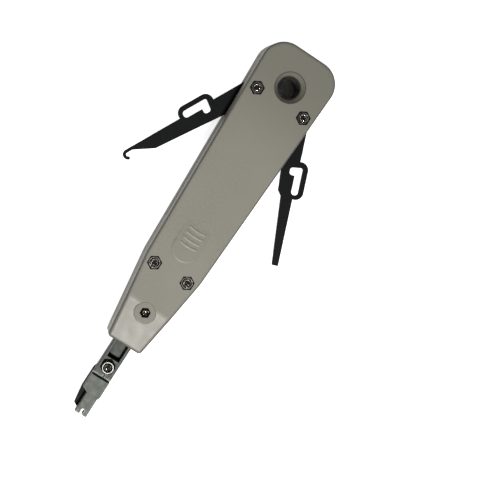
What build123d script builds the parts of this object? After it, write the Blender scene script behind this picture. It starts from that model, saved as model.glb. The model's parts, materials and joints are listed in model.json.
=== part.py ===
from build123d import *
import math
import os

# Punch down tool for telephone terminal blocks: a two-shell plastic handle that holds a
# sprung plunger with an insertion blade and a wire scissor, plus a folding wire hook and
# a folding release blade on the two upper screws.
#
# Frame: millimetres. X runs across the handle, Y along it towards the hanging hole, and
# Z up through the front face. The origin is the middle of the flat rear face.

os.makedirs("parts", exist_ok=True)

# ---------------------------------------------------------------- casing sizes
casing_length = 144.0
head_width = 34.75
waist_width = 26.55
nose_width = 16.05
waist_from_nose = 38.4
rear_depth = 11.0
front_depth = 11.0
plate_thickness = 2.4
side_wall = 2.2
head_corner_radius = 10.0
waist_blend_radius = 30.0
nose_corner_radius = 1.6
edge_radius = 1.5
seam_bevel = 0.2
solid_nose_length = 42.0

nose_slope_length = 19.2
nose_slope_drop = 2.4
nose_slope_blend = 12.0
nose_pad_radius = 4.75
nose_pad_rise = 0.1
nose_pad_edge_radius = 0.5

thumb_pad_radius = 6.6
thumb_pad_length = 17.8
thumb_pad_from_nose = 41.4
thumb_pad_rise = 0.5
thumb_pad_edge_radius = 1.0
thumb_rib_count = 4
thumb_rib_pitch = 2.45
thumb_rib_length = 7.2
thumb_rib_radius = 1.2
thumb_rib_sag = 0.35
thumb_rib_sink = 1.0
thumb_rib_from_top = 2.5

hole_radius = 4.85
hole_from_head = 16.35
hole_bevel_width = 1.75
hole_bevel_depth = 3.0
hole_wall = 2.2

# ---------------------------------------------------------------- fasteners
upper_screws_from_nose = 120.1
upper_screw_inset = 4.9
lower_screws_from_nose = 36.0
lower_screw_spacing = 16.1
nose_screw_from_nose = 16.3

m3_radius = 1.5
m3_head_radius = 2.75
m3_head_height = 2.0
m3_nut_flats = 5.5
m3_nut_height = 2.4
m2_radius = 1.0
m2_head_radius = 1.9
m2_head_height = 1.4
m2_nut_flats = 4.0
m2_nut_height = 1.6
head_sink = 0.6
nut_sink = 0.15
screw_clearance = 0.15
head_clearance = 0.25
nut_clearance = 0.05
thread_clearance = 0.02
cross_width = 0.6
cross_length = 3.2
cross_length_m2 = 2.2
head_round = 0.6
nut_bevel_inset = 0.3
nut_bevel_angle = 30.0
nut_bore_bevel_share = 0.42
screw_end_bevel = 0.25
screw_stand = 0.15

# ---------------------------------------------------------------- folding arms
arm_thickness = 1.5
arm_gap = 0.1
arm_slot_clearance = 0.3
arm_edge_offset = 4.5
hook_open_angle = 27.2
hook_length = 62.1
hook_mouth_radius = 0.8
hook_wire = 1.4
hook_root_width = 7.85
hook_root_from_pivot = 17.0
hook_waist_width = 5.7
hook_waist_from_pivot = 48.6
hook_neck_length = 2.6
hook_curl_angle = 155.0
hook_pull_start = 17.2
release_open_angle = 20.85
release_length = 63.3
release_root_width = 7.4
release_root_from_pivot = 22.4
release_shoulder = 31.6
release_shoulder_width = 6.8
release_shoulder_length = 2.1
release_blade_width = 5.15
release_tip_width = 2.7
release_tip_radius = 0.4
release_pull_start = 17.9
pull_length = 16.3
pull_reach = 4.1
pull_bar = 2.2
pull_pivot_leg = 2.4
pull_tip_leg = 1.9
pull_corner_radius = 3.4
window_below_edge = 1.2
window_end_radius = 1.4
window_corner_radius = 0.9
notch_from_window = 0.7
notch_length = 3.1
notch_depth = 2.5
notch_radius = 1.2
slot_stop_above = 6.2
slot_tip_clearance = 1.5
bush_radius = 2.5
bush_clearance = 0.05
bush_bore_clearance = 0.1
boss_radius = 4.1
washer_radius = 3.8
washer_thickness = 0.4

# ---------------------------------------------------------------- plunger
stroke = 7.0
bar_width = 8.4
bar_thickness = 7.0
bar_reach = 16.5
bar_tail = 14.0
bore_clearance = 0.3
bore_length = 9.0
channel_width = 9.2
channel_wall = 1.6
collar_length = 4.0
collar_clearance = 0.2
window_width = 5.7
window_depth = 4.0
window_from_nose = 7.9
window_length = 14.2
window_bevel = 0.25
bridge_slit_width = 0.8
bridge_slit_length = 1.9
bridge_slit_offset = 0.6
tongue_width = 5.0
tongue_thickness = 2.0
tongue_length = 9.0
tongue_clearance = 0.05
tongue_lift = 1.0
bar_edge_radius = 0.5

# ---------------------------------------------------------------- insertion blade
blade_length = 17.3
blade_width = 8.6
blade_front = 3.7
blade_rear = 1.5
blade_gap = 1.0
blade_shoulder = 7.4
tip_width = 5.4
tip_offset = 1.0
shoulder_drop = 1.2
notch_width = 1.2
notch_height = 2.4
contact_slot = 1.0
contact_slot_height = 5.0
blade_bevel = 0.3

# ---------------------------------------------------------------- scissor
pivot_reach = 11.95
scissor_thickness = 1.7
scissor_gap = 0.15
scissor_swing = 9.0
scissor_eye_radius = 3.3
scissor_side = 4.6
scissor_side_length = 12.6
scissor_toe = 3.5
scissor_toe_length = 1.2
scissor_edge = 1.4
scissor_reach = 21.7
cam_pin_radius = 0.75
cam_pin_inset = 2.6
cam_pin_offset = 0.8
cam_slot_clearance = 0.2
cam_slot_wall = 0.75
cam_pin_seat = 4.0
pivot_head_height = 1.6
pivot_clearance = 0.05
driver_slot_width = 0.5
driver_slot_depth = 0.5
mill_clearance = 0.5

# ---------------------------------------------------------------- main spring
spring_length = 42.0
spring_radius = 3.45
spring_wire_radius = 0.55
spring_turns = 14
rod_radius = 2.0
rod_length = 30.0
rod_socket = 6.0
rod_bevel = 0.5
seat_thickness = 1.5
seat_spigot_radius = 2.7
seat_spigot_length = 3.0
seat_wall = 3.0
seat_clearance = 0.1
spring_end_gap = 0.05

# ---------------------------------------------------------------- places
# Edges are told apart by their place or radius to within this distance.
match_tolerance = 0.02

parting_z = rear_depth
casing_top = rear_depth + front_depth
nose_end = -casing_length / 2
head_end = casing_length / 2
hole_y = head_end - hole_from_head
upper_screws_y = nose_end + upper_screws_from_nose
lower_screws_y = nose_end + lower_screws_from_nose
nose_screw_y = nose_end + nose_screw_from_nose
waist_y = nose_end + waist_from_nose
upper_taper = (head_width - waist_width) / (head_end - waist_y)
upper_half_width = (waist_width + upper_taper * (upper_screws_y - waist_y)) / 2
upper_x = upper_half_width - upper_screw_inset
upper_points = [(-upper_x, upper_screws_y), (upper_x, upper_screws_y)]
lower_points = [(-lower_screw_spacing / 2, lower_screws_y), (lower_screw_spacing / 2, lower_screws_y)]

arm_slot = arm_thickness / 2 + arm_slot_clearance
arm_bottom = parting_z - arm_thickness / 2
arm_top = parting_z + arm_thickness / 2
rear_boss_top = arm_bottom - arm_gap
washer_bottom = arm_top + arm_gap
front_boss_bottom = washer_bottom + washer_thickness + arm_gap

bar_front = nose_end - bar_reach
bar_rear = nose_screw_y + bar_tail
bar_bottom = parting_z - bar_thickness / 2
bar_top = parting_z + bar_thickness / 2
pivot_y = nose_end - pivot_reach
blade_start = bar_front - blade_gap
heel_end = bar_front - tongue_clearance
blade_end = blade_start - blade_length
blade_bottom = parting_z - blade_rear
blade_top = parting_z + blade_front
seat_y = bar_rear + spring_length
channel_end = seat_y + seat_thickness + seat_clearance

web_bottom = blade_bottom - scissor_gap / 2
scissor_top = web_bottom - scissor_gap
scissor_bottom = scissor_top - scissor_thickness
pivot_head_top = scissor_bottom - scissor_gap
cam_pin_y = nose_end + cam_pin_inset
cam_tail_half = cam_pin_radius + cam_slot_clearance + cam_slot_wall
mill_end = cam_pin_y + cam_tail_half + mill_clearance
tongue_bottom = parting_z + tongue_lift - tongue_thickness / 2
tongue_top = parting_z + tongue_lift + tongue_thickness / 2


# ---------------------------------------------------------------- shared profiles
# Outline of the handle seen from the front: two straight tapers that meet at the waist.
with BuildSketch() as casing_outline:
    with BuildLine():
        Polyline(
            (-head_width / 2, head_end),
            (-waist_width / 2, waist_y),
            (-nose_width / 2, nose_end),
            (nose_width / 2, nose_end),
            (waist_width / 2, waist_y),
            (head_width / 2, head_end),
            close=True,
        )
    make_face()
    fillet(casing_outline.vertices().group_by(Axis.Y)[-1], head_corner_radius)
    fillet(casing_outline.vertices().group_by(Axis.Y)[0], nose_corner_radius)
    fillet(
        casing_outline.vertices().filter_by(lambda v: abs(v.Y - waist_y) < edge_radius),
        waist_blend_radius,
    )

# Hollow of the handle: the outline less the side wall, behind the solid nose.
with BuildSketch() as cavity_outline:
    add(casing_outline.sketch)
    offset(amount=-side_wall, kind=Kind.INTERSECTION)
    with Locations((0, nose_end)):
        Rectangle(head_width, 2 * solid_nose_length, mode=Mode.SUBTRACT)

# Walls of the plunger channel inside the hollow, closed behind the spring seat.
with BuildSketch() as channel_walls:
    with Locations((0, nose_end + solid_nose_length)):
        Rectangle(
            channel_width + 2 * channel_wall,
            channel_end + seat_wall - nose_end - solid_nose_length,
            align=(Align.CENTER, Align.MIN),
        )

# Room for the folded arms: the strips beside the channel walls, open to both sides.
with BuildSketch() as arm_strips:
    strip_low = upper_screws_y - max(hook_length, release_length) - slot_tip_clearance
    strip_high = upper_screws_y + slot_stop_above
    strip_inner = channel_width / 2 + channel_wall + arm_slot_clearance
    for side in (-1, 1):
        with Locations((side * (strip_inner + head_width / 2), (strip_low + strip_high) / 2)):
            Rectangle(head_width, strip_high - strip_low)


def hexagon_pocket(points, flats):
    """Hexagons whose corners point along the handle, one at each point."""
    with BuildSketch() as hexagons:
        with Locations(*points):
            RegularPolygon(flats / 2, 6, major_radius=False, rotation=30)
    return hexagons.sketch


# ---------------------------------------------------------------- front shell
with BuildPart() as thumb_pad:
    pad_low = nose_end + thumb_pad_from_nose
    pad_high = pad_low + thumb_pad_length
    with BuildSketch(Plane.YZ):
        with BuildLine():
            Polyline(
                (pad_low, casing_top - edge_radius),
                (pad_high, casing_top - edge_radius),
                (pad_high, casing_top),
                (pad_low, casing_top + thumb_pad_rise),
                close=True,
            )
        make_face()
    extrude(amount=thumb_pad_radius, both=True)
    with BuildSketch(Plane.XY.offset(casing_top - edge_radius)):
        with Locations((0, pad_low + thumb_pad_radius)):
            Circle(thumb_pad_radius)
            Rectangle(2 * thumb_pad_radius, thumb_pad_length, align=(Align.CENTER, Align.MIN))
    extrude(amount=edge_radius + 2 * thumb_pad_rise, mode=Mode.INTERSECT)
    fillet(thumb_pad.faces().sort_by(Axis.Z)[-1].edges(), thumb_pad_edge_radius)
    for rib in range(thumb_rib_count):
        rib_drop = thumb_rib_from_top + rib * thumb_rib_pitch
        rib_y = pad_high - rib_drop
        rib_z = casing_top + thumb_pad_rise * rib_drop / thumb_pad_length - thumb_rib_sink
        rib_start = (-thumb_rib_length / 2, rib_y, rib_z)
        rib_end = (thumb_rib_length / 2, rib_y, rib_z)
        with BuildLine() as rib_path:
            ThreePointArc(rib_start, (0, rib_y - thumb_rib_sag, rib_z), rib_end)
        with BuildSketch(Plane(origin=rib_path.line @ 0, z_dir=rib_path.line % 0)):
            Circle(thumb_rib_radius)
        sweep(path=rib_path.line)
        with Locations(rib_start, rib_end):
            Sphere(thumb_rib_radius)

with BuildPart() as nose_pad:
    with BuildSketch(Plane.XY.offset(casing_top - nose_slope_drop - edge_radius)):
        with Locations((0, nose_screw_y)):
            Circle(nose_pad_radius)
    extrude(amount=nose_slope_drop + edge_radius + nose_pad_rise)
    fillet(nose_pad.edges().sort_by(Axis.Z)[-1], nose_pad_edge_radius)

with BuildPart() as front_shell:
    with BuildSketch(Plane.XY.offset(parting_z)):
        add(casing_outline.sketch)
    extrude(amount=front_depth)
    slope_start = nose_end + nose_slope_length
    slope_angle = math.atan2(nose_slope_drop, nose_slope_length)
    blend_reach = nose_slope_blend * math.tan(slope_angle / 2)
    blend_end = (
        slope_start - blend_reach * math.cos(slope_angle),
        casing_top - blend_reach * math.sin(slope_angle),
    )
    with BuildSketch(Plane.YZ):
        with BuildLine():
            TangentArc((slope_start + blend_reach, casing_top), blend_end, tangent=(-1, 0))
            Polyline(
                blend_end,
                (nose_end, casing_top - nose_slope_drop),
                (nose_end - nose_corner_radius, casing_top - nose_slope_drop),
                (nose_end - nose_corner_radius, casing_top),
                (slope_start + blend_reach, casing_top),
            )
        make_face()
    extrude(amount=head_width, both=True, mode=Mode.SUBTRACT)
    front_rim = front_shell.edges().filter_by(
        lambda e: e.center().Z > casing_top - nose_slope_drop - match_tolerance
        and (abs(e.center().X) > match_tolerance or abs(e.center().Y) > casing_length / 2 - match_tolerance)
    )
    fillet(front_rim, edge_radius)
    chamfer(front_shell.faces().sort_by(Axis.Z)[0].edges(), seam_bevel)

    with BuildSketch(Plane.XY.offset(parting_z)):
        add(cavity_outline.sketch)
    extrude(amount=front_depth - plate_thickness, mode=Mode.SUBTRACT)
    with BuildSketch(Plane.XY.offset(parting_z)):
        add(channel_walls.sketch)
        with Locations((0, hole_y)):
            Circle(hole_radius + hole_wall)
    extrude(amount=front_depth - plate_thickness)
    with BuildSketch(Plane.XY.offset(front_boss_bottom)):
        with Locations(*upper_points):
            Circle(boss_radius)
    extrude(amount=casing_top - plate_thickness - front_boss_bottom)
    add(nose_pad.part)
    add(thumb_pad.part)

    # Plunger bore at the nose and the wider spring channel behind it.
    with BuildSketch(Plane.XY.offset(parting_z)):
        with Locations((0, nose_end)):
            Rectangle(bar_width + 2 * bore_clearance, 2 * bore_length)
    extrude(amount=bar_thickness / 2 + bore_clearance, mode=Mode.SUBTRACT)
    with BuildSketch(Plane.XY.offset(parting_z)):
        with Locations((0, nose_end + bore_length)):
            Rectangle(channel_width, channel_end - nose_end - bore_length, align=(Align.CENTER, Align.MIN))
    extrude(amount=channel_width / 2, mode=Mode.SUBTRACT)
    with BuildSketch(Plane.XY.offset(parting_z)):
        add(arm_strips.sketch)
    extrude(amount=arm_slot, mode=Mode.SUBTRACT)
    with BuildSketch(Plane.XY.offset(parting_z)):
        with Locations(*upper_points):
            Circle(boss_radius)
    extrude(amount=front_boss_bottom - parting_z, mode=Mode.SUBTRACT)

    # Hanging hole, screw holes and nut pockets.
    with BuildSketch(Plane.XY.offset(parting_z)):
        with Locations((0, hole_y)):
            Circle(hole_radius)
        with Locations(*upper_points, *lower_points):
            Circle(m3_radius + screw_clearance)
        with Locations((0, nose_screw_y)):
            Circle(m2_radius + screw_clearance)
    extrude(amount=front_depth + nose_pad_rise, mode=Mode.SUBTRACT)
    with Locations((0, hole_y, casing_top)):
        Cone(
            hole_radius,
            hole_radius + hole_bevel_width,
            hole_bevel_depth,
            align=(Align.CENTER, Align.CENTER, Align.MAX),
            mode=Mode.SUBTRACT,
        )
    with BuildSketch(Plane.XY.offset(casing_top - nut_sink - m3_nut_height)):
        add(hexagon_pocket(upper_points + lower_points, m3_nut_flats + 2 * nut_clearance))
    extrude(amount=front_depth, mode=Mode.SUBTRACT)
    with BuildSketch(Plane.XY.offset(casing_top - nut_sink - m2_nut_height)):
        add(hexagon_pocket([(0, nose_screw_y)], m2_nut_flats + 2 * nut_clearance))
    extrude(amount=front_depth, mode=Mode.SUBTRACT)

# ---------------------------------------------------------------- rear shell
with BuildPart() as rear_shell:
    with BuildSketch():
        add(casing_outline.sketch)
    extrude(amount=rear_depth)
    fillet(rear_shell.faces().sort_by(Axis.Z)[0].edges(), edge_radius)
    chamfer(rear_shell.faces().sort_by(Axis.Z)[-1].edges(), seam_bevel)
    with BuildSketch(Plane.XY.offset(plate_thickness)):
        add(cavity_outline.sketch)
    extrude(amount=rear_depth - plate_thickness, mode=Mode.SUBTRACT)
    with BuildSketch(Plane.XY.offset(plate_thickness)):
        add(channel_walls.sketch)
        with Locations((0, hole_y)):
            Circle(hole_radius + hole_wall)
    extrude(amount=rear_depth - plate_thickness)
    with BuildSketch(Plane.XY.offset(parting_z)):
        with Locations((0, nose_end)):
            Rectangle(bar_width + 2 * bore_clearance, 2 * bore_length)
    extrude(amount=-bar_thickness / 2 - bore_clearance, mode=Mode.SUBTRACT)
    with BuildSketch(Plane.XY.offset(parting_z)):
        with Locations((0, nose_end + bore_length)):
            Rectangle(channel_width, channel_end - nose_end - bore_length, align=(Align.CENTER, Align.MIN))
    extrude(amount=-channel_width / 2, mode=Mode.SUBTRACT)
    with BuildSketch(Plane.XY.offset(parting_z)):
        add(arm_strips.sketch)
    extrude(amount=-arm_slot, mode=Mode.SUBTRACT)
    with BuildSketch(Plane.XY.offset(plate_thickness)):
        with Locations(*upper_points):
            Circle(boss_radius)
    extrude(amount=rear_boss_top - plate_thickness)

    # Hanging hole, screw holes and head recesses.
    with BuildSketch():
        with Locations((0, hole_y)):
            Circle(hole_radius)
        with Locations(*upper_points, *lower_points):
            Circle(m3_radius + screw_clearance)
        with Locations((0, nose_screw_y)):
            Circle(m2_radius + screw_clearance)
    extrude(amount=rear_depth, mode=Mode.SUBTRACT)
    with Locations((0, hole_y)):
        Cone(
            hole_radius + hole_bevel_width,
            hole_radius,
            hole_bevel_depth,
            align=(Align.CENTER, Align.CENTER, Align.MIN),
            mode=Mode.SUBTRACT,
        )
    with BuildSketch():
        with Locations(*upper_points, *lower_points):
            Circle(m3_head_radius + head_clearance)
    extrude(amount=head_sink + m3_head_height, mode=Mode.SUBTRACT)
    with BuildSketch():
        with Locations((0, nose_screw_y)):
            Circle(m2_head_radius + head_clearance)
    extrude(amount=head_sink + m2_head_height, mode=Mode.SUBTRACT)

    # Blind seat of the cam pin in the floor of the plunger bore.
    with BuildSketch(Plane.XY.offset(bar_bottom - bore_clearance)):
        with Locations((cam_pin_offset, cam_pin_y)):
            Circle(cam_pin_radius + thread_clearance)
    extrude(amount=-cam_pin_seat, mode=Mode.SUBTRACT)


# ---------------------------------------------------------------- screws and nuts
def pan_head_screws(points, radius, head_radius, head_height, cross, head_z, end_z):
    """Pan head screws that stand head down, with a cross recess in each head."""
    with BuildPart() as screws:
        with BuildSketch(Plane.XY.offset(head_z)):
            with Locations(*points):
                Circle(head_radius)
        extrude(amount=head_height)
        fillet(screws.faces().filter_by(Plane.XY).group_by(Axis.Z)[0].edges(), head_round)
        with BuildSketch(Plane.XY.offset(head_z)):
            with Locations(*points):
                Circle(radius)
        extrude(amount=end_z - head_z)
        chamfer(screws.faces().filter_by(Plane.XY).group_by(Axis.Z)[-1].edges(), screw_end_bevel)
        with BuildSketch(Plane.XY.offset(head_z)):
            with Locations(*points):
                Rectangle(cross, cross_width)
                Rectangle(cross_width, cross)
        extrude(amount=head_height / 2, mode=Mode.SUBTRACT)
    return screws.part


def hex_nuts(points, flats, height, radius, bottom_z):
    """Hexagon nuts with bevelled top corners and a bevelled bore."""
    corner = flats / math.sqrt(3) + nut_bevel_inset
    bevel_start = flats / 2 - nut_bevel_inset
    bevel_drop = (corner - bevel_start) * math.tan(math.radians(nut_bevel_angle))
    with BuildPart() as nuts:
        with BuildSketch(Plane.XY.offset(bottom_z)):
            add(hexagon_pocket(points, flats))
            with Locations(*points):
                Circle(radius + thread_clearance, mode=Mode.SUBTRACT)
        extrude(amount=height)
        chamfer(nuts.edges().filter_by(GeomType.CIRCLE).group_by(Axis.Z)[-1], nut_bore_bevel_share * radius)
        for x, y in points:
            with BuildSketch(Plane(origin=(x, y, bottom_z + height), x_dir=(1, 0, 0), z_dir=(0, -1, 0))):
                with BuildLine():
                    Polyline((bevel_start, 0), (corner, 0), (corner, -bevel_drop), close=True)
                make_face()
            revolve(axis=Axis((x, y, 0), (0, 0, 1)), mode=Mode.SUBTRACT)
    return nuts.part


def ring(points, bore_radius, outer_radius, bottom_z, height):
    """Plain bushes or washers, one at each point."""
    with BuildPart() as rings:
        with BuildSketch(Plane.XY.offset(bottom_z)):
            with Locations(*points):
                Circle(outer_radius)
                Circle(bore_radius, mode=Mode.SUBTRACT)
        extrude(amount=height)
    return rings.part


screw_end = casing_top - nut_sink + screw_stand
m3_screw = (m3_radius, m3_head_radius, m3_head_height, cross_length, head_sink, screw_end)
m3_nut = (m3_nut_flats, m3_nut_height, m3_radius, casing_top - nut_sink - m3_nut_height)
hook_pivot_screw = pan_head_screws(upper_points[:1], *m3_screw)
release_pivot_screw = pan_head_screws(upper_points[1:], *m3_screw)
lower_screws = pan_head_screws(lower_points, *m3_screw)
nose_screw = pan_head_screws(
    [(0, nose_screw_y)], m2_radius, m2_head_radius, m2_head_height, cross_length_m2, head_sink, screw_end
)
hook_pivot_nut = hex_nuts(upper_points[:1], *m3_nut)
release_pivot_nut = hex_nuts(upper_points[1:], *m3_nut)
lower_nuts = hex_nuts(lower_points, *m3_nut)
nose_nut = hex_nuts(
    [(0, nose_screw_y)], m2_nut_flats, m2_nut_height, m2_radius, casing_top - nut_sink - m2_nut_height
)

bush = (m3_radius + bush_bore_clearance, bush_radius, rear_boss_top, front_boss_bottom - rear_boss_top)
washer = (bush_radius + bush_bore_clearance, washer_radius, washer_bottom, washer_thickness)
hook_pivot_bush = ring(upper_points[:1], *bush)
release_pivot_bush = ring(upper_points[1:], *bush)
hook_friction_washer = ring(upper_points[:1], *washer)
release_friction_washer = ring(upper_points[1:], *washer)


# ---------------------------------------------------------------- folding arms
def arm_plane(side, opening):
    """Plane of an arm: x runs along its outer edge from the pivot, y points outwards."""
    turn = math.radians(opening)
    return Plane(
        origin=(side * upper_x, upper_screws_y, parting_z),
        x_dir=(side * math.sin(turn), -math.cos(turn), 0),
        z_dir=(0, 0, side),
    )


def pull_outline(start):
    """Finger pull that stands out from the outer edge of an arm, start away from its pivot."""
    with BuildSketch() as outline:
        with Locations((start, 0)):
            Rectangle(pull_length, arm_edge_offset + pull_reach, align=(Align.MIN, Align.MIN))
        fillet(outline.vertices().group_by(Axis.Y)[-1], pull_corner_radius)
    return outline.sketch


def pull_window(start):
    """Window in a finger pull: a long slot whose pivot end drops into a notch."""
    window_start = start + pull_pivot_leg
    window_end = start + pull_length - pull_tip_leg
    window_high = arm_edge_offset + pull_reach - pull_bar
    window_low = arm_edge_offset - window_below_edge
    notch_start = window_start + notch_from_window
    with BuildSketch() as window:
        with BuildLine():
            Polyline(
                (window_start, window_high),
                (window_end, window_high),
                (window_end, window_low),
                (notch_start + notch_length, window_low),
                (notch_start + notch_length, window_low - notch_depth),
                (notch_start, window_low - notch_depth),
                close=True,
            )
        make_face()
        fillet(window.vertices().group_by(Axis.X)[-1], window_end_radius)
        fillet(window.vertices().sort_by(Axis.X)[0], window_corner_radius)
        fillet(window.vertices().group_by(Axis.Y)[0], notch_radius)
    return window.sketch


with BuildPart() as hook_arm:
    hook_bend_radius = hook_mouth_radius + hook_wire / 2
    hook_center_x = hook_length - hook_bend_radius - hook_wire / 2
    hook_center_y = arm_edge_offset - hook_bend_radius - hook_wire / 2
    with BuildLine() as hook_wire_line:
        Line(
            (hook_center_x - hook_neck_length, arm_edge_offset - hook_wire / 2),
            (hook_center_x, arm_edge_offset - hook_wire / 2),
        )
        CenterArc((hook_center_x, hook_center_y), hook_bend_radius, 90, -hook_curl_angle)
    with BuildSketch(arm_plane(-1, hook_open_angle)):
        Circle(arm_edge_offset)
        with BuildLine():
            Polyline(
                (0, arm_edge_offset),
                (hook_center_x - hook_neck_length, arm_edge_offset),
                (hook_center_x - hook_neck_length, arm_edge_offset - hook_wire),
                (hook_waist_from_pivot, arm_edge_offset - hook_waist_width),
                (hook_root_from_pivot, arm_edge_offset - hook_root_width),
                (0, -arm_edge_offset),
                close=True,
            )
        make_face()
        SlotArc(hook_wire_line.wire(), hook_wire)
        add(pull_outline(hook_pull_start))
        add(pull_window(hook_pull_start), mode=Mode.SUBTRACT)
        Circle(bush_radius + bush_clearance, mode=Mode.SUBTRACT)
    extrude(amount=arm_thickness / 2, both=True)

with BuildPart() as release_blade:
    with BuildSketch(arm_plane(1, release_open_angle)) as release_outline:
        with BuildLine():
            Polyline(
                (0, arm_edge_offset),
                (release_length, arm_edge_offset),
                (release_length, arm_edge_offset - release_tip_width),
                (release_shoulder + release_shoulder_length, arm_edge_offset - release_blade_width),
                (release_shoulder, arm_edge_offset - release_shoulder_width),
                (release_root_from_pivot, arm_edge_offset - release_root_width),
                (0, -arm_edge_offset),
                close=True,
            )
        make_face()
        fillet(release_outline.vertices().group_by(Axis.X)[-1], release_tip_radius)
        Circle(arm_edge_offset)
        add(pull_outline(release_pull_start))
        add(pull_window(release_pull_start), mode=Mode.SUBTRACT)
        Circle(bush_radius + bush_clearance, mode=Mode.SUBTRACT)
    extrude(amount=arm_thickness / 2, both=True)


# ---------------------------------------------------------------- plunger
def across(y):
    """Plane across the plunger at y, facing the head of the handle, with its middle on the axis."""
    return Plane(origin=(0, y, parting_z), x_dir=(1, 0, 0), z_dir=(0, 1, 0))


with BuildPart() as plunger_bar:
    with BuildSketch(across(bar_front)):
        Rectangle(bar_width, bar_thickness)
    extrude(amount=bar_rear - bar_front)
    fillet(plunger_bar.edges().filter_by(Axis.Y), bar_edge_radius)
    with BuildSketch(across(bar_rear)):
        Rectangle(channel_width - 2 * collar_clearance, channel_width - 2 * collar_clearance)
    extrude(amount=-collar_length)
    # Groove on the front, seen between the nose and the bridge that carries the nut.
    with BuildSketch(Plane.XY.offset(bar_top - window_depth)):
        with Locations((0, nose_end - window_from_nose)):
            Rectangle(window_width, window_length, align=(Align.CENTER, Align.MIN))
    extrude(amount=window_depth, mode=Mode.SUBTRACT)
    window_middle = nose_end - window_from_nose + window_length / 2
    window_rim = plunger_bar.edges().filter_by(
        lambda e: e.center().Z > bar_top - match_tolerance
        and abs(e.center().X) < window_width / 2 + match_tolerance
        and abs(e.center().Y - window_middle) < window_length / 2 + match_tolerance
    )
    chamfer(window_rim, window_bevel)
    # Flat on the rear for the scissor.
    with BuildSketch(Plane.XY.offset(bar_bottom)):
        with Locations((0, bar_front)):
            Rectangle(bar_width, mill_end - bar_front, align=(Align.CENTER, Align.MIN))
    extrude(amount=web_bottom - bar_bottom, mode=Mode.SUBTRACT)
    # Socket for the tongue of the insertion blade, and the slit in front of the nut.
    with BuildSketch(Plane.XY.offset(tongue_bottom - tongue_clearance)):
        with Locations((0, bar_front)):
            Rectangle(
                tongue_width + 2 * tongue_clearance,
                tongue_length - blade_gap + tongue_clearance,
                align=(Align.CENTER, Align.MIN),
            )
    extrude(amount=tongue_thickness + 2 * tongue_clearance, mode=Mode.SUBTRACT)
    with BuildSketch(Plane.XY.offset(tongue_top)):
        with Locations((bridge_slit_offset, bar_front)):
            Rectangle(bridge_slit_width, bridge_slit_length, align=(Align.CENTER, Align.MIN))
    extrude(amount=bar_top - tongue_top, mode=Mode.SUBTRACT)
    # Pivot hole, and the slot in which the nose screw guides and stops the bar.
    with BuildSketch(Plane.XY.offset(bar_bottom)):
        with Locations((0, pivot_y)):
            Circle(m3_radius + pivot_clearance)
        with Locations((0, nose_screw_y - stroke / 2)):
            SlotCenterToCenter(stroke, 2 * (m2_radius + screw_clearance), rotation=90)
    extrude(amount=bar_thickness, mode=Mode.SUBTRACT)
    with BuildSketch(across(bar_rear)):
        Circle(rod_radius + thread_clearance)
    extrude(amount=-rod_socket, mode=Mode.SUBTRACT)

with BuildPart() as guide_rod:
    with BuildSketch(across(bar_rear - rod_socket + seat_clearance)):
        Circle(rod_radius)
    extrude(amount=rod_length + rod_socket - seat_clearance)
    chamfer(guide_rod.edges().sort_by(Axis.Y)[-1], rod_bevel)

with BuildPart() as main_spring:
    wire_start = bar_rear + spring_wire_radius + spring_end_gap
    wire_rise = spring_length - 2 * spring_wire_radius - 2 * spring_end_gap
    with BuildLine() as coil:
        Helix(wire_rise / spring_turns, wire_rise, spring_radius, (0, wire_start, parting_z), (0, 1, 0))
    with BuildSketch(Plane(origin=coil.line @ 0, z_dir=coil.line % 0)):
        Circle(spring_wire_radius)
    sweep(path=coil.line)

with BuildPart() as spring_seat:
    with BuildSketch(across(seat_y)):
        Circle(channel_width / 2 - seat_clearance)
    extrude(amount=seat_thickness)
    with BuildSketch(across(seat_y)):
        Circle(seat_spigot_radius)
    extrude(amount=-seat_spigot_length)

with BuildPart() as insertion_blade:
    with BuildSketch(Plane.XY.offset(blade_bottom)):
        with BuildLine():
            tip_left = tip_offset - tip_width / 2
            tip_right = tip_offset + tip_width / 2
            Polyline(
                (-blade_width / 2, blade_start),
                (blade_width / 2, blade_start),
                (blade_width / 2, blade_start - blade_shoulder),
                (tip_right, blade_start - blade_shoulder - shoulder_drop),
                (tip_right, blade_end),
                (tip_left, blade_end),
                (tip_left, blade_start - blade_shoulder - shoulder_drop / 2),
                (-blade_width / 2, blade_start - blade_shoulder + shoulder_drop / 2),
                close=True,
            )
        make_face()
    extrude(amount=blade_top - blade_bottom)
    chamfer(insertion_blade.faces().sort_by(Axis.Z)[-1].edges(), blade_bevel)
    # Wire notch with a round root, and the slot that straddles the terminal contact.
    with BuildSketch(Plane.XY.offset(blade_bottom)):
        with Locations((tip_offset, blade_end)):
            Rectangle(notch_width, 2 * (notch_height - notch_width / 2))
        with Locations((tip_offset, blade_end + notch_height - notch_width / 2)):
            Circle(notch_width / 2 + blade_bevel / 2)
    extrude(amount=blade_top - blade_bottom, mode=Mode.SUBTRACT)
    with BuildSketch(Plane.YZ):
        with Locations((blade_end, (blade_bottom + blade_top) / 2)):
            Rectangle(2 * contact_slot_height, contact_slot)
    extrude(amount=blade_width, both=True, mode=Mode.SUBTRACT)
    # Heel that meets the bar behind the front groove, and the tongue that enters its socket.
    with BuildSketch(Plane.XY.offset(blade_bottom)):
        with Locations((0, blade_start)):
            Rectangle(blade_width, heel_end - blade_start, align=(Align.CENTER, Align.MIN))
    extrude(amount=tongue_top - blade_bottom)
    with BuildSketch(Plane.XY.offset(tongue_bottom)):
        with Locations((0, blade_start)):
            Rectangle(tongue_width, tongue_length, align=(Align.CENTER, Align.MIN))
    extrude(amount=tongue_thickness)
    with BuildSketch(Plane.XY.offset(tongue_bottom)):
        with Locations((0, pivot_y)):
            Circle(m3_radius + pivot_clearance)
    extrude(amount=tongue_thickness, mode=Mode.SUBTRACT)


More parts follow.
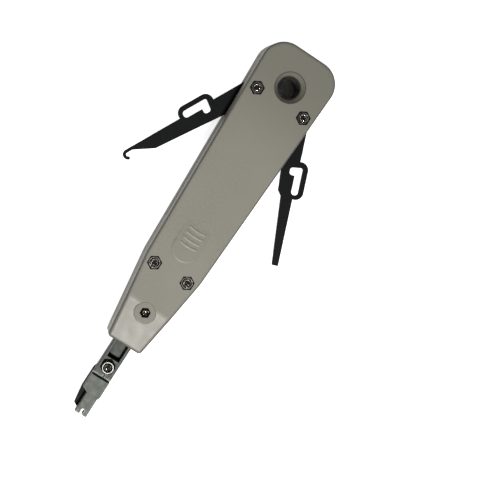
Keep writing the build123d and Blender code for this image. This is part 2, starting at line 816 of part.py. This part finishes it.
# ---------------------------------------------------------------- scissor
def pin_on_scissor(travel):
    """Place of the cam pin on the scissor, from its pivot, after the plunger moved in by travel."""
    turn = math.radians(scissor_swing * travel / stroke)
    x = cam_pin_offset
    y = cam_pin_y - pivot_y - travel
    return (x * math.cos(turn) + y * math.sin(turn), y * math.cos(turn) - x * math.sin(turn))


with BuildLine() as cam_path:
    ThreePointArc(pin_on_scissor(0), pin_on_scissor(stroke / 2), pin_on_scissor(stroke))

with BuildPart() as scissor_blade:
    with BuildSketch(Plane((0, pivot_y, scissor_bottom))):
        Circle(scissor_eye_radius)
        with BuildLine():
            neck_x, neck_y = pin_on_scissor(stroke)
            Polyline(
                (-scissor_eye_radius, 0),
                (neck_x - cam_tail_half, neck_y),
                (neck_x + cam_tail_half, neck_y),
                (scissor_eye_radius, 0),
                (-scissor_edge, -scissor_side_length),
                (-scissor_edge, -scissor_reach),
                (-scissor_toe, -scissor_reach + scissor_toe_length),
                (-scissor_side, -scissor_side_length),
                (-scissor_side, -scissor_eye_radius),
                close=True,
            )
        make_face()
        SlotArc(cam_path.edge(), 2 * cam_tail_half)
        SlotArc(cam_path.edge(), 2 * (cam_pin_radius + cam_slot_clearance), mode=Mode.SUBTRACT)
        Circle(m3_radius + pivot_clearance, mode=Mode.SUBTRACT)
    extrude(amount=scissor_thickness)

with BuildPart() as cam_pin:
    with BuildSketch(Plane.XY.offset(bar_bottom - bore_clearance - cam_pin_seat + seat_clearance)):
        with Locations((cam_pin_offset, cam_pin_y)):
            Circle(cam_pin_radius)
    extrude(amount=scissor_top - bar_bottom + bore_clearance + cam_pin_seat - seat_clearance)

with BuildPart() as scissor_pivot_screw:
    pivot_screw_end = bar_top + m3_nut_height + screw_stand
    add(
        pan_head_screws(
            [(0, pivot_y)],
            m3_radius,
            m3_head_radius,
            pivot_head_height,
            cross_length,
            pivot_head_top - pivot_head_height,
            pivot_screw_end,
        )
    )
    with BuildSketch(Plane.XY.offset(pivot_screw_end)):
        with Locations((0, pivot_y)):
            Rectangle(driver_slot_width, 2 * m3_radius)
    extrude(amount=-driver_slot_depth, mode=Mode.SUBTRACT)

scissor_pivot_nut = hex_nuts([(0, pivot_y)], m3_nut_flats, m3_nut_height, m3_radius, bar_top)

# ---------------------------------------------------------------- files
pieces = {
    "front_shell": front_shell.part,
    "rear_shell": rear_shell.part,
    "hook_pivot_screw": hook_pivot_screw,
    "hook_pivot_nut": hook_pivot_nut,
    "hook_pivot_bush": hook_pivot_bush,
    "hook_friction_washer": hook_friction_washer,
    "hook_arm": hook_arm.part,
    "release_pivot_screw": release_pivot_screw,
    "release_pivot_nut": release_pivot_nut,
    "release_pivot_bush": release_pivot_bush,
    "release_friction_washer": release_friction_washer,
    "release_blade": release_blade.part,
    "lower_screws": lower_screws,
    "lower_nuts": lower_nuts,
    "nose_screw": nose_screw,
    "nose_nut": nose_nut,
    "plunger_bar": plunger_bar.part,
    "guide_rod": guide_rod.part,
    "main_spring": main_spring.part,
    "spring_seat": spring_seat.part,
    "insertion_blade": insertion_blade.part,
    "scissor_blade": scissor_blade.part,
    "scissor_pivot_screw": scissor_pivot_screw.part,
    "scissor_pivot_nut": scissor_pivot_nut,
    "cam_pin": cam_pin.part,
}
for name, piece in pieces.items():
    piece.label = name
    export_step(piece, f"parts/{name}.step")
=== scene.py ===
import json
import math

import bpy
from mathutils import Matrix, Vector


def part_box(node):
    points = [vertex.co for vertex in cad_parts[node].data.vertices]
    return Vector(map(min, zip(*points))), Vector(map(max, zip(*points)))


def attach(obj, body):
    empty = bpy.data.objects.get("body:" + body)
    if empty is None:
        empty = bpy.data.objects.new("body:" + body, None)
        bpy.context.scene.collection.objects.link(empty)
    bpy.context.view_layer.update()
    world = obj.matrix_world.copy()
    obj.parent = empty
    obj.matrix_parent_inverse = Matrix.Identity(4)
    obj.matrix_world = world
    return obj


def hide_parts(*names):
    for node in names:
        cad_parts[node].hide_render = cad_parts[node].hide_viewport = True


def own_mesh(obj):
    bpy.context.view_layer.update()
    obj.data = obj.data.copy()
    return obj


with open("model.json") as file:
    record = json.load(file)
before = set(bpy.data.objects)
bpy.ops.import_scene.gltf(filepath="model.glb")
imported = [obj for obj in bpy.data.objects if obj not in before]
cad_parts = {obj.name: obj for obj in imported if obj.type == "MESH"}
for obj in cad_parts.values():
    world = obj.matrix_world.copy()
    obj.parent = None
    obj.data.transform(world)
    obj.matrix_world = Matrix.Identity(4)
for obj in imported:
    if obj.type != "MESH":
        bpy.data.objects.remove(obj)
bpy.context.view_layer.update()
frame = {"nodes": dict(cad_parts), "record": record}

# A punch down tool that lies on its back on a white table, seen from above. The looks of
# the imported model: moulded grey casing, blackened arms, ground steel and bright fasteners.

MM = 0.001
nodes = frame["nodes"]
mounts = {mount["name"]: mount for mount in frame["record"]["mounts"]}
scene = bpy.context.scene
scene.view_settings.view_transform = "Standard"

# Places on the tool that its finish follows.
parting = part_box("rear_shell")[1].z
casing_front = 2 * parting
hole_bevel_width = 1.75 * MM
nut_flats = 5.5 * MM
land_radius = 2.2 * MM


def middle(node):
    """The middle of a node's box at rest."""
    low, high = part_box(node)
    return (low + high) / 2


# ---------------------------------------------------------------- camera
def aim(thing, place, target, up):
    """Put a camera or lamp at a place, looking at the target, with the given up direction."""
    back = (Vector(place) - Vector(target)).normalized()
    right = Vector(up).cross(back).normalized()
    turn = Matrix((right, back.cross(right), back)).transposed()
    thing.matrix_world = Matrix.Translation(Vector(place)) @ turn.to_4x4()


view_target = Vector((20.42 * MM, -9.64 * MM, casing_front))
view_distance = 605.8 * MM
view_lean_left = math.radians(8.59)
view_lean_nose = math.radians(0.34)
view_turn = math.radians(33.08)
view_back = Vector((-math.tan(view_lean_left), -math.tan(view_lean_nose), 1)).normalized()

camera_data = bpy.data.cameras.new("camera")
camera_data.lens = 106.1
camera_data.sensor_width = 36
camera = bpy.data.objects.new("camera", camera_data)
scene.collection.objects.link(camera)
aim(
    camera,
    view_target + view_distance * view_back,
    view_target,
    (-math.sin(view_turn), math.cos(view_turn), 0),
)
scene.camera = camera


# ---------------------------------------------------------------- lights
def way(tilt, bearing):
    """Unit vector at a tilt from straight up, towards a bearing from +X, both in degrees."""
    tilt, bearing = math.radians(tilt), math.radians(bearing)
    return Vector((
        math.sin(tilt) * math.cos(bearing),
        math.sin(tilt) * math.sin(bearing),
        math.cos(tilt),
    ))


def round_lamp(name, distance, towards, size, watts, colour):
    """A round soft lamp that stands off from the tool's lower half and faces it."""
    target = Vector((0, -0.06, 0.02))
    up = (0.01, 0.02, 1)
    data = bpy.data.lights.new(name, "AREA")
    data.shape = "DISK"
    data.size = size
    data.energy = watts
    data.color = colour
    lamp = bpy.data.objects.new(name, data)
    scene.collection.objects.link(lamp)
    aim(lamp, target + distance * towards, target, up)


round_lamp("key", 0.80, way(23, -68), size=0.10, watts=4.2, colour=(1, 0.985, 0.955))
round_lamp("window", 0.60, way(62, -70), size=0.30, watts=0.35, colour=(1, 1, 1))


def studio():
    """Pale walls low down and a dim ceiling. The camera sees white all round."""
    world = bpy.data.worlds.new("studio")
    world.use_nodes = True
    tree = world.node_tree
    towards = tree.nodes.new("ShaderNodeTexCoord")
    split = tree.nodes.new("ShaderNodeSeparateXYZ")
    tree.links.new(towards.outputs["Generated"], split.inputs["Vector"])
    rays = tree.nodes.new("ShaderNodeLightPath")

    def walls(low, high, wall, ceiling):
        """Strength of the walls up to the low angle and of the ceiling from the high one."""
        made = tree.nodes.new("ShaderNodeMapRange")
        made.interpolation_type = "SMOOTHSTEP"
        made.inputs["From Min"].default_value = math.sin(math.radians(low))
        made.inputs["From Max"].default_value = math.sin(math.radians(high))
        made.inputs["To Min"].default_value = wall
        made.inputs["To Max"].default_value = ceiling
        tree.links.new(split.outputs["Z"], made.inputs["Value"])
        return made.outputs["Result"]

    def combine(operation, a, b):
        made = tree.nodes.new("ShaderNodeMath")
        made.operation = operation
        for socket, value in zip(made.inputs, (a, b)):
            if isinstance(value, bpy.types.NodeSocket):
                tree.links.new(value, socket)
            else:
                socket.default_value = value
        return made.outputs["Value"]

    mirror_walls = walls(12, 28, 1.0, 0.02)
    soft_walls = walls(35, 60, 0.42, 0.05)
    glossy = rays.outputs["Is Glossy Ray"]
    mirrored = combine("MULTIPLY", glossy, mirror_walls)
    soft = combine("MULTIPLY", combine("SUBTRACT", 1.0, glossy), soft_walls)
    seen = combine("MAXIMUM", rays.outputs["Is Camera Ray"], combine("ADD", mirrored, soft))
    background = tree.nodes["Background"]
    background.inputs["Color"].default_value = (1, 1, 1, 1)
    tree.links.new(seen, background.inputs["Strength"])
    scene.world = world


studio()


# ---------------------------------------------------------------- node helpers
class Shader:
    """A material's node tree with short calls to add and link nodes."""

    def __init__(self, name):
        self.material = bpy.data.materials.new(name)
        self.material.use_nodes = True
        self.tree = self.material.node_tree
        self.surface = self.tree.nodes["Principled BSDF"]

    def node(self, kind, settings=None, **inputs):
        """Add a node with its settings and inputs. An underscore stands for a space."""
        made = self.tree.nodes.new("ShaderNode" + kind)
        for key, value in (settings or {}).items():
            setattr(made, key, value)
        for key, value in inputs.items():
            self.put(made, key.replace("_", " "), value)
        return made

    def put(self, node, name, value):
        """Link an output to a node's input, or set the input to a plain value."""
        if isinstance(value, bpy.types.NodeSocket):
            self.tree.links.new(value, node.inputs[name])
        else:
            node.inputs[name].default_value = value

    def place(self):
        """The point on the piece at rest, in metres."""
        return self.node("TexCoord").outputs["Object"]

    def upright(self):
        """1 on faces that look straight up or down, 0 on upright walls."""
        return self.math("ABSOLUTE", self.split(self.node("NewGeometry").outputs["Normal"], "Z"))

    def noise(self, size, detail=3.0, stretch=(1, 1, 1)):
        """Noise from 0 to 1 with blobs of about the given size in metres."""
        mapping = self.node("Mapping", Vector=self.place(), Scale=stretch)
        vector = mapping.outputs["Vector"]
        return self.node("TexNoise", Vector=vector, Scale=1 / size, Detail=detail).outputs["Fac"]

    def ramp(self, value, low, high, out_low=0.0, out_high=1.0):
        """A smooth step from out_low, where the value is low, to out_high, where it is high."""
        made = self.node("MapRange", {"interpolation_type": "SMOOTHSTEP"}, Value=value)
        made.inputs["From Min"].default_value = low
        made.inputs["From Max"].default_value = high
        made.inputs["To Min"].default_value = out_low
        made.inputs["To Max"].default_value = out_high
        return made.outputs["Result"]

    def math(self, operation, a, b=0.0):
        made = self.tree.nodes.new("ShaderNodeMath")
        made.operation = operation
        self.put(made, 0, a)
        self.put(made, 1, b)
        return made.outputs[0]

    def mix(self, factor, a, b):
        """Colour a where the factor is 0, colour b where it is 1."""
        made = self.tree.nodes.new("ShaderNodeMix")
        made.data_type = "RGBA"
        self.put(made, 0, factor)
        self.put(made, 6, (*a, 1) if isinstance(a, tuple) else a)
        self.put(made, 7, (*b, 1) if isinstance(b, tuple) else b)
        return made.outputs[2]

    def split(self, vector, axis):
        return self.node("SeparateXYZ", Vector=vector).outputs[axis]

    def distance(self, point):
        """Distance in metres from a point of the piece at rest."""
        made = self.node("VectorMath", {"operation": "DISTANCE"})
        self.put(made, 0, self.place())
        self.put(made, 1, point)
        return made.outputs["Value"]

    def off_axis(self, point):
        """Distance in metres from the upright line through a point."""
        flat = self.node("VectorMath", {"operation": "MULTIPLY"})
        self.put(flat, 0, self.place())
        self.put(flat, 1, (1, 1, 0))
        made = self.node("VectorMath", {"operation": "DISTANCE"})
        self.put(made, 0, flat.outputs["Vector"])
        self.put(made, 1, (point[0], point[1], 0))
        return made.outputs["Value"]

    def crevices(self, width):
        """About 0 in the open, towards 1 in corners and slots of the given width."""
        settings = {"samples": 8, "only_local": True}
        outside = self.node("AmbientOcclusion", settings, Distance=width)
        return self.ramp(outside.outputs["AO"], 0.85, 0.35)

    def edges(self, width):
        """About 0 on faces, towards 1 within the given width of a convex edge."""
        settings = {"samples": 6, "inside": True}
        inside = self.node("AmbientOcclusion", settings, Distance=width)
        return self.ramp(inside.outputs["AO"], 0.95, 0.55)

    def finish(self, base, roughness, relief=None, depth=0.0, strength=0.0):
        """Link the colour, the roughness and a relief of the given depth in metres."""
        self.put(self.surface, "Base Color", base)
        self.put(self.surface, "Roughness", roughness)
        if relief is not None:
            bump = self.node("Bump", Height=relief, Distance=depth, Strength=strength)
            self.put(self.surface, "Normal", bump.outputs["Normal"])
        return self.material


def rgb(*levels):
    """Linear colour from the usual 0 to 255 values."""
    return tuple(
        ((level / 255 + 0.055) / 1.055) ** 2.4 if level > 10 else level / 255 / 12.92
        for level in levels
    )


# ---------------------------------------------------------------- materials
def casing_material():
    """Moulded grey plastic with soft clouds and fine specks, and painted shade on its ends, outer
    edges, bore and crevices.
    """
    bore_shade_and_rim_line = rgb(40, 40, 37)
    s = Shader("casing_grey")
    clouds = s.noise(30 * MM, detail=2)
    specks = s.noise(1.0 * MM, detail=4)
    base = s.mix(s.ramp(clouds, 0.35, 0.65), rgb(149, 147, 136), rgb(155, 153, 142))
    base = s.mix(s.ramp(specks, 0.30, 0.75), base, rgb(157, 154, 144))
    # Painted shade makes the casing a little darker towards the nose and the head than along the
    # grip.
    along = s.split(s.place(), "Y")
    at_nose = s.ramp(along, -60 * MM, -20 * MM, 0.35, 0.0)
    at_head = s.ramp(along, 20 * MM, 60 * MM, 0.0, 0.95)
    base = s.mix(at_nose, base, rgb(134, 132, 122))
    base = s.mix(at_head, base, rgb(138, 137, 126))
    # Painted shade darkens the rounded outer edges below the front face, which turn away from the
    # light. The hole's bevel is spared for the most part, and so is the pad round the nose nut.
    tilt = s.math("SUBTRACT", 1.0, s.upright())
    height = s.split(s.place(), "Z")
    below = s.ramp(height, casing_front - 0.30 * MM, casing_front - 0.05 * MM, 0.7, 0.0)
    hole = Vector(mounts["hanging_hole"]["pos_m"])
    off_hole = s.ramp(s.distance(hole), 12 * MM, 14 * MM, 0.15, 1.0)
    off_pad = s.ramp(s.distance(middle("nose_nut")), 5.5 * MM, 6.2 * MM)
    rounded = s.math("MULTIPLY", s.ramp(tilt, 0.01, 0.30), s.ramp(tilt, 0.70, 1.0, 1.0, 0.45))
    for share in (below, off_hole, off_pad):
        rounded = s.math("MULTIPLY", rounded, share)
    base = s.mix(rounded, base, rgb(56, 56, 53))
    # Painted shade darkens the bore inside, and a thin dark line is painted round the outer edge of
    # its bevel.
    bore = mounts["hanging_hole"]["dims"]["r_mm"] * MM
    from_axis = s.off_axis(hole)
    in_bore = s.ramp(from_axis, bore + 0.05 * MM, bore + 0.30 * MM, 0.65, 0.0)
    beside_rim = s.math("ABSOLUTE", s.math("SUBTRACT", from_axis, bore + hole_bevel_width))
    on_rim = s.ramp(beside_rim, 0.05 * MM, 0.35 * MM, 0.6, 0.0)
    base = s.mix(in_bore, base, bore_shade_and_rim_line)
    base = s.mix(on_rim, base, bore_shade_and_rim_line)
    # Painted shade darkens corners, slots and recesses of the casing.
    base = s.mix(s.math("MULTIPLY", s.crevices(4 * MM), 0.85), base, rgb(34, 34, 31))
    s.surface.inputs["Specular IOR Level"].default_value = 0.33
    roughness = s.ramp(s.noise(4 * MM), 0.3, 0.7, 0.34, 0.39)
    return s.finish(base, roughness, s.noise(0.45 * MM, detail=2), 0.05 * MM, 0.6)


def black_material():
    """Black oxide with faint patches, worn to grey in places along its edges."""
    s = Shader("black_steel")
    patches = s.noise(6 * MM)
    base = s.mix(s.ramp(patches, 0.3, 0.7), rgb(11, 14, 15), rgb(16, 19, 20))
    spots = s.ramp(s.noise(1.5 * MM, detail=5), 0.40, 0.62)
    worn = s.math("MULTIPLY", s.edges(0.3 * MM), spots)
    base = s.mix(s.math("MULTIPLY", worn, 0.35), base, rgb(70, 72, 72))
    s.surface.inputs["Specular IOR Level"].default_value = 0.2
    roughness = s.ramp(s.noise(0.9 * MM), 0.3, 0.7, 0.50, 0.60)
    return s.finish(base, roughness, s.noise(0.5 * MM), 0.02 * MM, 0.5)


def tool_steel_material(name, dark, light):
    """Ground steel, brushed along the tool, with painted highlights on its edges and painted shade
    in its crevices and on its sides.
    """
    s = Shader(name)
    brushed = s.noise(0.3 * MM, stretch=(1, 0.12, 1))
    stains = s.noise(3 * MM, detail=2)
    base = s.mix(s.ramp(brushed, 0.3, 0.7), dark, light)
    base = s.mix(s.ramp(stains, 0.4, 0.8, 0.0, 0.35), base, rgb(78, 82, 76))
    # Painted highlight: convex edges are lightened, as if they caught the light.
    base = s.mix(s.math("MULTIPLY", s.edges(0.5 * MM), 0.6), base, rgb(195, 197, 193))
    # Painted shade: crevices are darkened, and upright sides are darker than faces that look up.
    base = s.mix(s.math("MULTIPLY", s.crevices(2.5 * MM), 0.9), base, rgb(14, 15, 14))
    base = s.mix(s.ramp(s.upright(), 0.15, 0.6, 0.6, 0.0), base, rgb(34, 37, 35))
    s.surface.inputs["Metallic"].default_value = 0.5
    roughness = s.ramp(s.noise(2 * MM), 0.3, 0.7, 0.46, 0.54)
    return s.finish(base, roughness, brushed, 0.01 * MM, 0.3)


def fastener_material(name, dents, flats, bevels, axes=()):
    """Bright nickel plate with dents of the given depth, and with the given shares of painted
    dark reflection on its flats and bevels. Nuts also keep a land round each axis, spared from it
    and a little rougher."""
    s = Shader(name)
    patches = s.ramp(s.noise(1.2 * MM), 0.35, 0.65)
    base = s.mix(patches, rgb(205, 203, 197), rgb(232, 230, 224))
    roughness = s.ramp(s.noise(0.7 * MM), 0.3, 0.7, 0.06, 0.12)
    upright = s.upright()
    # Painted dark reflection: faces that look up take the flats' share, steeper faces the bevels'
    # share.
    painted_dark_reflection = s.ramp(upright, 0.76, 0.84, bevels, flats)
    if axes:
        nearest = s.off_axis(axes[0])
        for axis in axes[1:]:
            nearest = s.math("MINIMUM", nearest, s.off_axis(axis))
        beside_land = s.math("ABSOLUTE", s.math("SUBTRACT", nearest, land_radius))
        land = s.ramp(beside_land, 0.12 * MM, 0.30 * MM, 1.0, 0.0)
        painted_dark_reflection = s.math("MULTIPLY", painted_dark_reflection, s.math("SUBTRACT", 1.0, land))
        roughness = s.math("ADD", roughness, s.math("MULTIPLY", land, 0.13))
    base = s.mix(painted_dark_reflection, base, rgb(40, 39, 37))
    # Painted shade in crevices, on steep walls only.
    steep = s.ramp(upright, 0.4, 0.6, 1.0, 0.0)
    base = s.mix(s.math("MULTIPLY", s.crevices(1.2 * MM), steep), base, rgb(20, 20, 19))
    s.surface.inputs["Metallic"].default_value = 1.0
    return s.finish(base, roughness, s.noise(0.9 * MM, detail=1), dents, 0.5)


def spring_material():
    """Oiled spring steel."""
    s = Shader("spring_steel")
    base = s.mix(s.noise(1.0 * MM), rgb(120, 120, 118), rgb(160, 160, 158))
    s.surface.inputs["Metallic"].default_value = 1.0
    return s.finish(base, s.ramp(s.noise(1.5 * MM), 0.3, 0.7, 0.25, 0.4))


def brass_material():
    """Turned brass with fine rings along its axis."""
    s = Shader("bush_brass")
    rings = s.noise(0.4 * MM, stretch=(1, 1, 0.1))
    base = s.mix(rings, rgb(176, 140, 72), rgb(206, 170, 96))
    s.surface.inputs["Metallic"].default_value = 1.0
    return s.finish(base, s.ramp(s.noise(1.5 * MM), 0.3, 0.7, 0.22, 0.36))


def nut_axes():
    """A point on the axis of each M3 nut."""
    axes = [middle(node) for node in ("hook_pivot_nut", "release_pivot_nut", "scissor_pivot_nut")]
    low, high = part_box("lower_nuts")
    between = middle("lower_nuts")
    for x in (low.x + nut_flats / 2, high.x - nut_flats / 2):
        axes.append(Vector((x, between.y, between.z)))
    return axes


m3_axes = nut_axes()
materials = {
    "casing_grey": casing_material(),
    "black_steel": black_material(),
    "tool_steel": tool_steel_material("tool_steel", rgb(84, 89, 84), rgb(94, 98, 92)),
    "bright_fasteners": fastener_material("bright_nuts", 0.02 * MM, 0.9, 0.0, m3_axes),
    "spring_steel": spring_material(),
    "bush_brass": brass_material(),
}

# Nodes whose finish differs a little from the rest of their slot.
pivot_end = fastener_material("bright_pivots", 0.90 * MM, 0.2, 0.0)
screw_end = fastener_material("bright_screws", 0.33 * MM, 0.3, 0.0)
own_finish = {
    "hook_pivot_screw": pivot_end,
    "release_pivot_screw": pivot_end,
    "lower_screws": screw_end,
    "nose_screw": screw_end,
    "scissor_pivot_screw": fastener_material("bar_screw", 0.16 * MM, 0.72, 0.72),
    "scissor_pivot_nut": fastener_material("bar_nut", 0.02 * MM, 0.9, 0.75, m3_axes),
    "plunger_bar": tool_steel_material("bar_steel", rgb(72, 77, 73), rgb(80, 84, 80)),
}
for subpart in frame["record"]["subparts"]:
    node = nodes[subpart["node"]]
    usual = materials[subpart["material_slot"]]
    node.data.materials.clear()
    node.data.materials.append(own_finish.get(subpart["node"], usual))


# ---------------------------------------------------------------- main spring
def compressing_spring():
    """The main spring as an object with its own mesh, fixed to the casing; the imported spring is
    hidden.
    """
    coil = bpy.data.objects.new("spring_coil", nodes["main_spring"].data.copy())
    scene.collection.objects.link(coil)
    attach(coil, "casing")
    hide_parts("main_spring")
    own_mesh(coil)


compressing_spring()


# ---------------------------------------------------------------- table
def table():
    """White table. The camera sees it bright; its glow is dimmed under and inside the tool, a
    painted shadow there.
    """
    half = 1.5
    level = -0.2 * MM
    to_camera = 0.95
    to_mirrors = 0.25
    corners = [
        (-half, -half, level),
        (half, -half, level),
        (half, half, level),
        (-half, half, level),
    ]
    mesh = bpy.data.meshes.new("table")
    mesh.from_pydata(corners, [], [(0, 1, 2, 3)])
    floor = bpy.data.objects.new("table", mesh)
    scene.collection.objects.link(floor)
    s = Shader("table_white")
    s.surface.inputs["Base Color"].default_value = (0.9, 0.9, 0.9, 1)
    s.surface.inputs["Roughness"].default_value = 0.9
    rays = s.node("LightPath")
    mirrored = s.math("MAXIMUM", rays.outputs["Is Glossy Ray"], rays.outputs["Is Transmission Ray"])
    seen = s.math(
        "ADD",
        s.math("MULTIPLY", rays.outputs["Is Camera Ray"], to_camera),
        s.math("MULTIPLY", mirrored, to_mirrors),
    )
    # Painted shadow: occlusion dims the table's glow near, under and inside the tool.
    shade = s.node("AmbientOcclusion", {"samples": 8}, Distance=30 * MM)
    open_sky = s.ramp(shade.outputs["AO"], 0.12, 0.3)
    s.surface.inputs["Emission Color"].default_value = (1, 1, 1, 1)
    s.put(s.surface, "Emission Strength", s.math("MULTIPLY", seen, open_sky))
    mesh.materials.append(s.material)


table()
